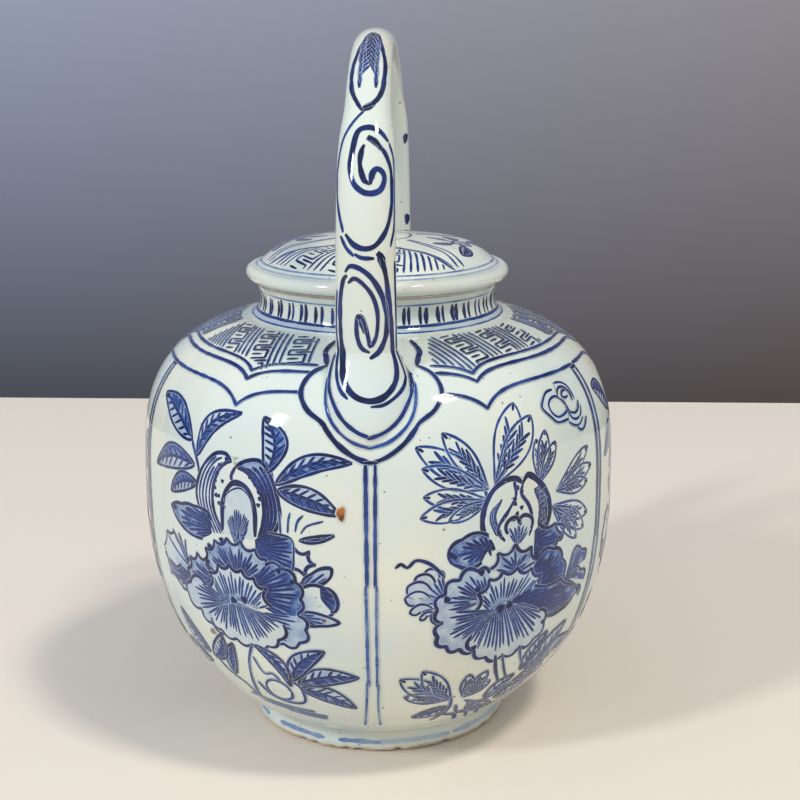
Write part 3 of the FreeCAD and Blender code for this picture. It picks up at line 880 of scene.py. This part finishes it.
def boundary(p, top):
    """The double upright line between two panels, with the break at its middle."""
    for x, width in ((-1.35, 1.0), (1.35, 0.85)):
        p.line([(x, top), (x * 0.96, 95), (x * 0.9, 82), (x * 0.86, 71)], width, 0.66)
        p.line([(x * 1.15, 72), (x, 58), (x, 46), (x * 0.9, 36)], width * 0.85, 0.5)
        p.line([(x * 1.2, 38), (x * 1.3 - 0.4, 26), (x * 1.7 - 0.6, 13)], width * 0.7, 0.45)
    p.line([(-2.0, top), (2.0, top)], 1.0, 0.85)


# ---- Handle, neck, lid and spout ------------------------------------------------------

HANDLE_DRAWING = 7.0  # half the handle's width in its drawing


def on_leg(points, side):
    """Drawing points for shares of the half width and heights, on the near or the far leg."""
    drawn = [(a * HANDLE_DRAWING, leg(z)) for a, z in points]
    return [(-x, HANDLE_LENGTH - y) for x, y in drawn] if side else drawn


def scroll_handle(p):
    """Two coils and a bud on each leg, the same from both ends of the handle."""
    strokes = [
        ([(-0.7, 153.2), (-0.51, 154.9), (-0.12, 154.1), (0.27, 151.6), (0.56, 147.8), (0.72, 143.7),
          (0.77, 139.5), (0.72, 135.4), (0.51, 131.6), (0.17, 129.6)], 1.05, 0.85),
        ([(-0.6, 150.2), (-0.36, 151.6), (-0.02, 149.9), (0.27, 147), (0.43, 143.3), (0.46, 139.5),
          (0.39, 135.4), (0.19, 132.9), (0.12, 135.4), (0.02, 138.7), (-0.1, 141), (-0.25, 141.2),
          (-0.3, 138.7), (-0.27, 135.4), (-0.12, 132.5), (0.17, 131.2)], 0.8, 0.8),
        ([(-0.27, 141.4), (-0.12, 140.2), (0.02, 136.6)], 1.5, 0.8),
        ([(-0.63, 152.4), (-0.77, 150.8), (-0.87, 145.8), (-0.88, 139.5), (-0.84, 133.3), (-0.72, 128.3),
          (-0.56, 123.8), (-0.34, 120.9), (-0.1, 119.4), (0.2, 118.9), (0.5, 120), (0.78, 123.2),
          (0.92, 128), (0.92, 135.4), (0.85, 143.7), (0.75, 152), (0.6, 157)], 1.2, 0.86),
        ([(-0.98, 148), (-1.02, 139.5), (-0.96, 132), (-0.84, 126.5), (-0.64, 121.8), (-0.4, 119.2)],
         0.7, 0.7),
        ([(1.04, 156), (1.06, 146), (1.08, 136), (1.06, 127), (0.9, 121.5), (0.5, 118), (0.15, 117.4)],
         0.8, 0.82),
        ([(0.46, 158.6), (0.58, 157.4), (0.66, 154.6)], 2.2, 0.95),
        ([(-0.36, 158.2), (-0.1, 157.2), (0.36, 157)], 0.9, 0.7),
        ([(-0.86, 163), (-0.66, 159.8), (-0.38, 157.6)], 0.8, 0.66),
        ([(0.84, 188.2), (0.53, 190.4), (0.12, 191.1), (-0.29, 190.1), (-0.46, 185.8), (-0.54, 180.7),
          (-0.41, 176.8), (-0.08, 174.5), (0.28, 174.1), (0.58, 175.2), (0.71, 178), (0.63, 179.9),
          (0.43, 180.5), (0.28, 179.2), (0.2, 176.4)], 1.1, 0.76),
        ([(0.2, 176.4), (-0.03, 177.6), (-0.18, 181.5), (-0.13, 185), (-0.03, 186.6)], 1.0, 0.82),
        ([(0.07, 188.6), (0.33, 187.8), (0.58, 186.2), (0.79, 183.9), (0.93, 180), (0.95, 172.1),
          (0.79, 165), (0.43, 160.7), (0.02, 159.6), (-0.39, 160.7), (-0.69, 163.5)], 1.0, 0.86),
        ([(0.07, 188.6), (0.36, 187.5), (0.6, 185.6)], 1.9, 0.95),
        ([(-0.77, 163.9), (-0.92, 169), (-1.0, 174.1), (-1.04, 182)], 0.7, 0.66),
        ([(-0.08, 195.6), (-0.49, 192.9), (-0.8, 189.7), (-0.94, 185.8), (-1.02, 180)], 0.65, 0.62),
        ([(0.86, 188), (1.0, 184), (1.04, 176), (1.02, 166), (0.9, 160)], 0.6, 0.7),
        ([(-0.22, 196), (-0.6, 200.4), (-0.74, 204), (-0.72, 208.5), (-0.46, 213), (-0.1, 216.6)],
         0.95, 0.8),
        ([(-0.2, 196.2), (0.34, 198.2), (0.62, 201.5), (0.7, 205), (0.72, 209.3), (0.5, 213.3),
          (0.2, 216.6)], 0.95, 0.84),
        ([(-0.24, 195.8), (0.1, 196.6), (0.34, 198)], 1.5, 0.96),
        ([(0.14, 207.6), (0.08, 211.8), (0.02, 216.8)], 2.0, 0.92),
    ]
    for side in (0, 1):
        for points, width, ink in strokes:
            p.line(on_leg(points, side), width * 1.15, ink + 0.06)
        for k in range(8):
            for sign in (-1, 1):
                start = (0.08 + 0.02 * sign, 215.9 - 1.15 * k)
                end = (sign * (0.3 + 0.05 * (k % 3)), 211.4 - 1.35 * k)
                bow = (sign * 0.34, (start[1] + end[1]) / 2 + 0.4)
                p.line(on_leg([start, bow, end], side), 0.85, 0.72)
        for z in (153, 184):
            for edge in (-1, 1):
                x, y = edge * 1.5 * HANDLE_DRAWING, leg(z)
                p.spot(x, HANDLE_LENGTH - y if side else y, 1.1, 0.9, 1.8)


def neck_border(p):
    """Pairs of upright dashes between a line and a double band."""
    around = 2 * math.pi * NECK_RADIUS
    pairs = 44
    for k in range(pairs):
        for offset in (-0.9, 0.9):
            x = around * k / pairs + offset + p.dice.uniform(-0.3, 0.3)
            top = 138.4 + p.dice.uniform(-0.3, 0.3)
            p.stroke([(x, top), (x + p.dice.uniform(-0.2, 0.4), 133.4)], p.dice.uniform(0.7, 1.3),
                     p.dice.uniform(0.7, 1.05))
    for y, width, ink in ((139.1, 0.45, 0.42), (132.9, 0.9, 0.66), (131.5, 0.6, 0.5)):
        p.line(ring_line(NECK_RADIUS, y, 48), width, ink, heap=0.0)
    p.line(ring_line(NECK_RADIUS, 132.2, 48), 1.1, 0.2, 0.2, heap=0.0)


def seam_stain(p):
    """Iron-brown line where the unglazed rim shows under the lid."""
    p.line(ring_line(NECK_RADIUS + 1, 141.3, 48), 0.55, 0.0, heap=0.0, iron=0.55)


def foot_line(p):
    """Blue line round the foot, broken where the brush ran dry."""
    around = 2 * math.pi * FOOT_RADIUS
    x = 0.0
    while x < around:
        run = p.dice.uniform(9, 26)
        p.line([(x, 3.4), (x + run / 2, 3.6), (x + run, 3.3)], 1.1, p.dice.uniform(0.2, 0.4), heap=0.05)
        x += run + p.dice.uniform(1, 7)


def spout_drawing(p):
    """Rings at both ends of the spout and long leaves that climb it from the root."""
    around = 2 * math.pi * SPOUT_DRAWING
    for y, width, ink in ((11, 1.0, 0.7), (66, 0.8, 0.7), (68.5, 0.6, 0.5)):
        p.line(ring_line(SPOUT_DRAWING, y, 24), width, ink, heap=0.0)
    for k in range(4):
        x = around * k / 4
        p.leaf((x, 15), (x, 46), 8.5, 0.8, 0.3, veins=10)
        p.leaf((x + around / 8, 14), (x + around / 8, 30), 5.0, -0.6, 0.42, veins=6)
        p.leaf((x, 49), (x, 63), 3.4, 0.4, 0.36, veins=4)


def lid_fret(p):
    """Meander under a lobed arch, between two pairs of spokes."""

    def arch(x, out=0.0):
        return 15 + out + 20 * abs(x / 28) ** 2.2 + 0.8 * abs(math.sin(x * math.pi / 11))

    def inside(x, y):
        return arch(x, 1.0) < y < 35

    for out, width in ((0.0, 0.7), (-1.4, 0.5)):
        p.stroke([(x, min(arch(x, out), 35.4)) for x in range(-28, 29)], width, 0.72)
    meander(p, inside, -26, 26, 17, 35)
    for side in (-1, 1):
        for x in (29.6, 31.8):
            p.stroke([(side * x, 13), (side * x, 34.8)], 0.7, 0.66)


def lid_blossom(p):
    """Small blossom with leaves."""
    p.spot(0, 26, 1.6, 0.4, 0.8)
    for k in range(6):
        turn = k * math.pi / 3
        p.spot(3.2 * math.sin(turn), 26 + 2.6 * math.cos(turn), 1.35, 0.8)
    for side in (-1, 1):
        p.leaf((side * 4, 28), (side * 12, 31.5), 3.6, side * 0.6, 0.5, veins=4)
        p.leaf((side * 4, 24), (side * 11, 20.5), 3.2, side * 0.6, 0.5, veins=4)
    p.leaf((0, 22), (2, 15.5), 2.8, 0.6, 0.5, veins=3)


def lid_rings(p):
    """Two pale lines near the lid's rim and one round the knob."""
    for radius, width, ink in ((35.9, 0.55, 0.42), (37.3, 0.6, 0.3), (10.5, 0.7, 0.6)):
        p.line(ring_line(LID_DRAWING, radius, 40), width, ink, heap=0.0)


# ---- Materials ----------------------------------------------------------------------


def new_material(name):
    material = bpy.data.materials.new(name)
    material.use_nodes = True
    tree = material.node_tree
    return material, tree, tree.nodes["Principled BSDF"]


def ramp(tree, factor, stops):
    node = tree.nodes.new("ShaderNodeValToRGB")
    for end, (place, colour) in zip(node.color_ramp.elements, (stops[0], stops[-1])):
        end.position, end.color = place, (*colour, 1)
    for place, colour in stops[1:-1]:
        node.color_ramp.elements.new(place).color = (*colour, 1)
    tree.links.new(factor, node.inputs["Fac"])
    return node.outputs["Color"]


def cloud_noise(tree, scale, detail=2.0):
    place = tree.nodes.new("ShaderNodeTexCoord")
    node = tree.nodes.new("ShaderNodeTexNoise")
    node.inputs["Scale"].default_value = scale
    node.inputs["Detail"].default_value = detail
    tree.links.new(place.outputs["Object"], node.inputs["Vector"])
    return node.outputs["Fac"]


def mixed(tree, factor, one, two, kind="MIX"):
    node = tree.nodes.new("ShaderNodeMix")
    node.data_type = "RGBA"
    node.blend_type = kind
    for socket, value in ((node.inputs[0], factor), (node.inputs[6], one), (node.inputs[7], two)):
        if isinstance(value, (int, float)):
            socket.default_value = value
        elif isinstance(value, tuple):
            socket.default_value = (*value, 1)
        else:
            tree.links.new(value, socket)
    return node.outputs[2]


def attribute(tree, name):
    node = tree.nodes.new("ShaderNodeAttribute")
    node.attribute_name = name
    return node.outputs["Fac"]


def bumped(tree, shader, height, strength, distance):
    node = tree.nodes.new("ShaderNodeBump")
    node.inputs["Strength"].default_value = strength
    node.inputs["Distance"].default_value = distance
    tree.links.new(height, node.inputs["Height"])
    tree.links.new(node.outputs["Normal"], shader.inputs["Normal"])


def make_glaze():
    """Clear blue-white glaze with cobalt under it, by the ink and iron of the painting."""
    material, tree, shader = new_material("painted glaze")
    body = ramp(tree, cloud_noise(tree, 22), [(0.3, (0.60, 0.69, 0.68)), (0.7, (0.74, 0.74, 0.62))])
    specks = ramp(tree, cloud_noise(tree, 620, 0.0), [(0.83, (1, 1, 1)), (0.85, (0.5, 0.42, 0.32))])
    body = mixed(tree, 1.0, body, specks, "MULTIPLY")
    ink = tree.nodes.new("ShaderNodeMath")
    ink.operation = "MULTIPLY"
    tree.links.new(attribute(tree, "ink"), ink.inputs[0])
    uneven = tree.nodes.new("ShaderNodeMapRange")
    uneven.inputs["To Min"].default_value = 0.72
    uneven.inputs["To Max"].default_value = 1.24
    tree.links.new(cloud_noise(tree, 900, 3.0), uneven.inputs["Value"])
    tree.links.new(uneven.outputs["Result"], ink.inputs[1])
    cover = ramp(tree, ink.outputs[0], [(0.0, (0, 0, 0)), (0.28, (0.55,) * 3), (0.5, (1, 1, 1))])
    cobalt = ramp(tree, ink.outputs[0], [(0.0, (0.22, 0.40, 0.64)), (0.25, (0.09, 0.22, 0.50)),
                                         (0.45, (0.028, 0.095, 0.33)), (0.7, (0.006, 0.024, 0.155)),
                                         (1.0, (0.002, 0.004, 0.03))])
    painted = mixed(tree, cover, body, cobalt)
    rust = ramp(tree, cloud_noise(tree, 500), [(0.35, (0.10, 0.035, 0.01)), (0.65, (0.42, 0.15, 0.02))])
    tree.links.new(mixed(tree, attribute(tree, "iron"), painted, rust), shader.inputs["Base Color"])
    shader.inputs["Roughness"].default_value = 0.06
    shader.inputs["IOR"].default_value = 1.5
    bumped(tree, shader, cloud_noise(tree, 90), 0.25, 0.0006)
    return material


def make_biscuit():
    """Unglazed body where the pot was fired on its foot and on its rim."""
    material, tree, shader = new_material("fired biscuit")
    colour = ramp(tree, cloud_noise(tree, 260, 4.0), [(0.3, (0.50, 0.36, 0.21)), (0.7, (0.72, 0.62, 0.46))])
    tree.links.new(colour, shader.inputs["Base Color"])
    shader.inputs["Roughness"].default_value = 0.75
    bumped(tree, shader, cloud_noise(tree, 1400, 3.0), 0.5, 0.0003)
    return material


def plain(name, colour, rough=0.8):
    material, _, shader = new_material(name)
    shader.inputs["Base Color"].default_value = (*colour, 1)
    shader.inputs["Roughness"].default_value = rough
    return material


glaze = make_glaze()
biscuit = make_biscuit()
for name, node in nodes.items():
    node.data.materials.clear()
    node.data.materials.append(biscuit if name == "lid_locating_ring" else glaze)

# ---- Foot ring -----------------------------------------------------------------------


def foot_profile():
    """Outline of the foot ring: glazed groove outside, bare gritty edge below."""
    return [(FOOT_RADIUS + 0.05, FOOT_HEIGHT), (FOOT_RADIUS - 0.7, FOOT_HEIGHT - 1.4),
            (FOOT_RADIUS - 0.5, 4.2), (FOOT_RADIUS, 2.6), (FOOT_RADIUS, 1.8), (FOOT_RADIUS - 0.05, 1.2),
            (FOOT_RADIUS - 0.4, 0.5), (FOOT_RADIUS - 1.1, 0.05), (FOOT_RADIUS - 2.5, 0.0),
            (FOOT_INNER_RADIUS + 1.6, 0.0), (FOOT_INNER_RADIUS + 0.4, 0.4), (FOOT_INNER_RADIUS, 1.4),
            (FOOT_INNER_RADIUS, FOOT_HEIGHT)]


def make_foot():
    """The foot ring with the small chips and kiln grit of its bare edge."""
    steps = 360
    corners = foot_profile()
    profile = [spot for a, b in zip(corners, corners[1:]) for spot in (a, between(a, b, 0.5))]
    profile.append(corners[-1])
    dice = random.Random(11)
    chips = [(dice.uniform(0, 2 * math.pi), dice.uniform(0.015, 0.04)) for _ in range(16)]
    chips += [(math.radians(-33), 0.05), (math.radians(-27), 0.03), (math.radians(-12), 0.03)]
    points, faces = [], []
    for i in range(steps):
        turn = 2 * math.pi * i / steps
        for radius, z in profile:
            around = Vector((math.sin(turn), -math.cos(turn), 0))
            spot = around * radius + UP * z
            bare = max(0.0, 1 - z / 2.4)
            bite = 0.0
            for place, size in chips:
                away = (turn - place + math.pi) % (2 * math.pi) - math.pi
                bite = max(bite, math.exp(-((away / size) ** 2)))
            worn = bare * (0.8 * bite + 0.25 * noise.noise(spot * 0.9) + 0.12)
            middle = FOOT_RADIUS - 3
            spot += around * (-worn if radius > middle else worn) + UP * worn * 0.6 * bare
            points.append(spot * MM)
    row = len(profile)
    for i in range(steps):
        for k in range(row - 1):
            a, b = i * row + k, ((i + 1) % steps) * row + k
            faces.append((a, a + 1, b + 1, b))
    mesh = bpy.data.meshes.new("foot_ring_worn")
    mesh.from_pydata(points, [], faces)
    mesh.materials.append(glaze)
    mesh.materials.append(biscuit)
    for face in mesh.polygons:
        face.use_smooth = True
        bare_top = (1.5 + 0.5 * noise.noise(face.center * 400)) * MM
        face.material_index = 1 if face.center.z < bare_top else 0
    ring = bpy.data.objects.new("foot_ring_worn", mesh)
    bpy.context.scene.collection.objects.link(ring)
    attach(ring, "pot")
    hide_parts("foot_ring")
    return ring


foot = make_foot()

# ---- Painting -------------------------------------------------------------------------

body_skin = Skin(nodes["lower_body"], nodes["upper_body"])
roots = [nodes["handle_root_front"], nodes["handle_root_rear"]]
shoulder_skin = Skin(nodes["lower_body"], nodes["upper_body"], *roots)
neck_skin = Skin(nodes["neck_collar"])
lid_skin = Skin(nodes["lid_cap"])
handle_skin = Skin(nodes["handle_arch"], *roots)
foot_skin = Skin(foot)

SQUEEZED = 0.56  # how narrow the drawings on the side panels are

for k in range(6):
    sideways = k % 3 == 1
    design = peony_with_open_leaves if k % 2 == 0 else peony_with_bud
    middle = PAINT_TURN + PANEL_TURN * (k + 0.5)
    aim = panel_aim(middle, SQUEEZED if sideways else 1.0)
    painter = Painter(f"panel_{k + 1}", body_skin, aim, "pot", "body_glaze", k + 3)
    design(painter)
    if k % 2 == 0 and not sideways:
        cloud(painter, 28, 116.5)
    beside = {0: -1, 2: 1, 3: -1, 5: 1}.get(k, 0)
    collar(painter, beside)
    if beside:
        painter.skin = shoulder_skin
        cartouche(painter, beside)
        painter.skin = body_skin
    painter.aim = panel_aim(PAINT_TURN + BOUNDARIES[k])
    boundary(painter, CARTOUCHE_POINT if k % 3 == 0 else COLLAR_EDGE)
    painter.finish()

painter = Painter("neck_painting", neck_skin, ring_aim(NECK_RADIUS), "pot", "body_glaze", 21)
neck_border(painter)
seam_stain(painter)
painter.finish()

painter = Painter("foot_painting", foot_skin, ring_aim(FOOT_RADIUS), "pot", "body_glaze", 22)
painter.lift = 0.06
foot_line(painter)
painter.finish()

painter = Painter("handle_painting", handle_skin, handle_aim, "pot", "handle_glaze", 31)
painter.lift = 0.05  # the handle is curved more sharply than the body
scroll_handle(painter)
painter.finish()

painter = Painter("spout_painting", Skin(nodes["spout"]), spout_aim, "pot", "body_glaze", 25)
spout_drawing(painter)
painter.finish()

painter = Painter("lid_painting", lid_skin, lid_aim(0), "lid", "lid_glaze", 41)
lid_rings(painter)
for quarter in range(4):
    painter.aim = lid_aim(math.radians(90 * quarter - 10))
    (lid_blossom if quarter % 2 else lid_fret)(painter)
painter.finish()

# ---- Stage, light and camera -------------------------------------------------------------

TABLE_EDGE = 0.40  # how far behind the pot the table ends


def sheet(name, corners, material):
    mesh = bpy.data.meshes.new(name)
    mesh.from_pydata(corners, [], [(0, 1, 2, 3)])
    mesh.materials.append(material)
    piece = bpy.data.objects.new(name, mesh)
    bpy.context.scene.collection.objects.link(piece)


sheet("table", [(-5, -5, 0), (5, -5, 0), (5, TABLE_EDGE, 0), (-5, TABLE_EDGE, 0)],
      plain("pale cloth", (0.80, 0.715, 0.62)))


def make_wall():
    """Grey wall with painted light: darker at its foot, lighter towards its top and warmer to the right."""
    material, tree, shader = new_material("grey wall")
    place = tree.nodes.new("ShaderNodeTexCoord")
    split = tree.nodes.new("ShaderNodeSeparateXYZ")
    tree.links.new(place.outputs["Object"], split.inputs["Vector"])

    def share(axis, reach):
        node = tree.nodes.new("ShaderNodeMapRange")
        node.inputs["From Min"].default_value = -reach
        node.inputs["From Max"].default_value = reach
        tree.links.new(split.outputs[axis], node.inputs["Value"])
        return node.outputs["Result"]

    height = share("Z", 0.25)
    # Painted light: the wall's colour goes from dark at the foot to light at the top, warmer on the right
    left = ramp(tree, height, [(0.0, (0.074, 0.075, 0.092)), (1.0, (0.35, 0.365, 0.46))])
    right = ramp(tree, height, [(0.0, (0.088, 0.064, 0.056)), (1.0, (0.31, 0.275, 0.28))])
    tree.links.new(mixed(tree, share("X", 0.5), left, right), shader.inputs["Base Color"])
    shader.inputs["Roughness"].default_value = 0.9
    return material


sheet("wall", [(-14, 1.4, -1.5), (14, 1.4, -1.5), (14, 1.4, 2.5), (-14, 1.4, 2.5)], make_wall())

world = bpy.data.worlds.new("soft room")
bpy.context.scene.world = world
world.use_nodes = True
world.node_tree.nodes["Background"].inputs["Color"].default_value = (0.82, 0.90, 1.0, 1)
world.node_tree.nodes["Background"].inputs["Strength"].default_value = 0.68


def lamp(name, place, target, size, power, colour):
    data = bpy.data.lights.new(name, "AREA")
    data.shape = "RECTANGLE"
    data.size, data.size_y = size
    data.energy = power
    data.color = colour
    piece = bpy.data.objects.new(name, data)
    bpy.context.scene.collection.objects.link(piece)
    piece.location = place
    piece.rotation_euler = (Vector(target) - Vector(place)).to_track_quat("-Z", "Y").to_euler()


lamp("window", (-1.3, -1.1, 1.25), (0, 0, 0.1), (0.2, 0.4), 17.0, (0.93, 0.97, 1.0))
lamp("ceiling", (0.7, -0.5, 1.6), (0, 0, 0.1), (0.22, 0.22), 13.0, (1.0, 0.93, 0.80))

camera_data = bpy.data.cameras.new("camera")
camera_data.sensor_width = 36
camera_data.lens = 67.5
camera = bpy.data.objects.new("camera", camera_data)
bpy.context.scene.collection.objects.link(camera)
azimuth, pitch, yaw, roll = math.radians(3.2), 0.249, 0.015, -0.003
distance, height = 0.4628, 0.2196
turn = Matrix.Rotation(azimuth, 3, "Z")
forward = Vector((math.sin(yaw) * math.cos(pitch), math.cos(yaw) * math.cos(pitch), -math.sin(pitch)))
forward = turn @ forward
level = turn @ Vector((math.cos(yaw), -math.sin(yaw), 0))
upward = level.cross(forward)
right = level * math.cos(roll) + upward * math.sin(roll)
top = upward * math.cos(roll) - level * math.sin(roll)
pose = Matrix((right, top, -forward)).transposed().to_4x4()
pose.translation = Vector((distance * math.sin(azimuth), -distance * math.cos(azimuth), height))
camera.matrix_world = pose
bpy.context.scene.camera = camera
bpy.context.scene.view_settings.view_transform = "Standard"
